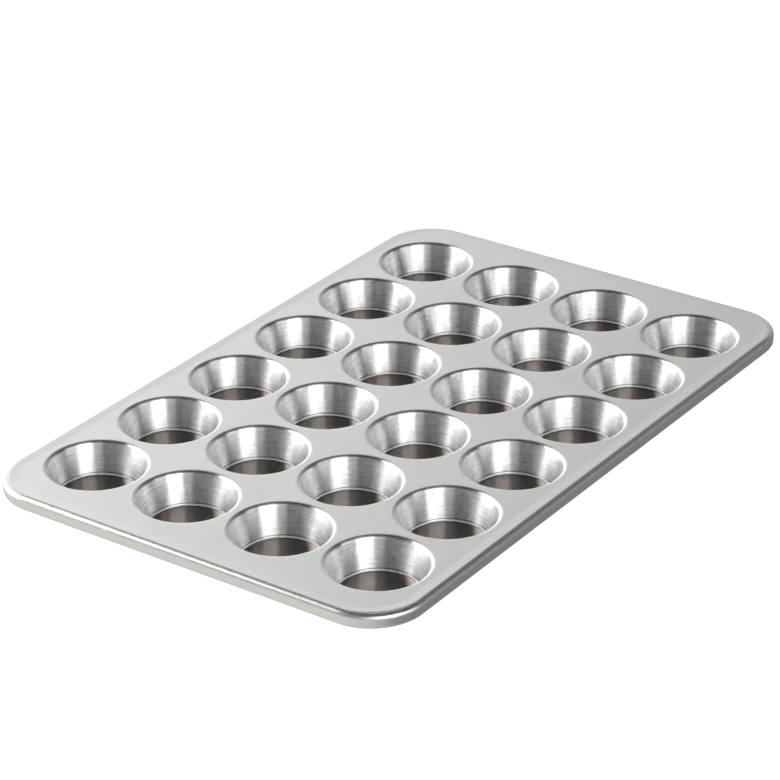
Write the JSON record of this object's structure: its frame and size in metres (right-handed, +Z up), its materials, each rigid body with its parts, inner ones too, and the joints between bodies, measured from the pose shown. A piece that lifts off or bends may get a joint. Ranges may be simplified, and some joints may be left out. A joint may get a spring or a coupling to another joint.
{
  "type": "muffin tin",
  "caption": "Shallow baking tin: a flat metal deck drawn down into a grid of small tapered round cups, with an edge rolled round a stiffening wire.",
  "frame": {"origin": "on the plane that the cup floors stand on, straight below the middle of the tin's outline", "axes": "+X along the long side, +Y along the short side, +Z up out of the cups' mouths"},
  "size_m": [0.3962, 0.2572, 0.0187],
  "materials": {
    "deck": "uncoated, fine straight mill grain, satin",
    "cups": "uncoated, drawn walls with faint rings, glossier than the deck",
    "rolled_edge": "uncoated, smooth roll with small dents",
    "wire": "drawn and zinc plated, dull"
  },
  "bodies": {
    "root": {"deck_sheet": "deck", "cup_r1_c1": "cups", "cup_r1_c2": "cups", "cup_r1_c3": "cups", "cup_r1_c4": "cups", "cup_r1_c5": "cups", "cup_r1_c6": "cups", "cup_r2_c1": "cups", "cup_r2_c2": "cups", "cup_r2_c3": "cups", "cup_r2_c4": "cups", "cup_r2_c5": "cups", "cup_r2_c6": "cups", "cup_r3_c1": "cups", "cup_r3_c2": "cups", "cup_r3_c3": "cups", "cup_r3_c4": "cups", "cup_r3_c5": "cups", "cup_r3_c6": "cups", "cup_r4_c1": "cups", "cup_r4_c2": "cups", "cup_r4_c3": "cups", "cup_r4_c4": "cups", "cup_r4_c5": "cups", "cup_r4_c6": "cups", "rolled_rim": "rolled_edge", "rim_wire": "wire"}
  },
  "joints": []
}
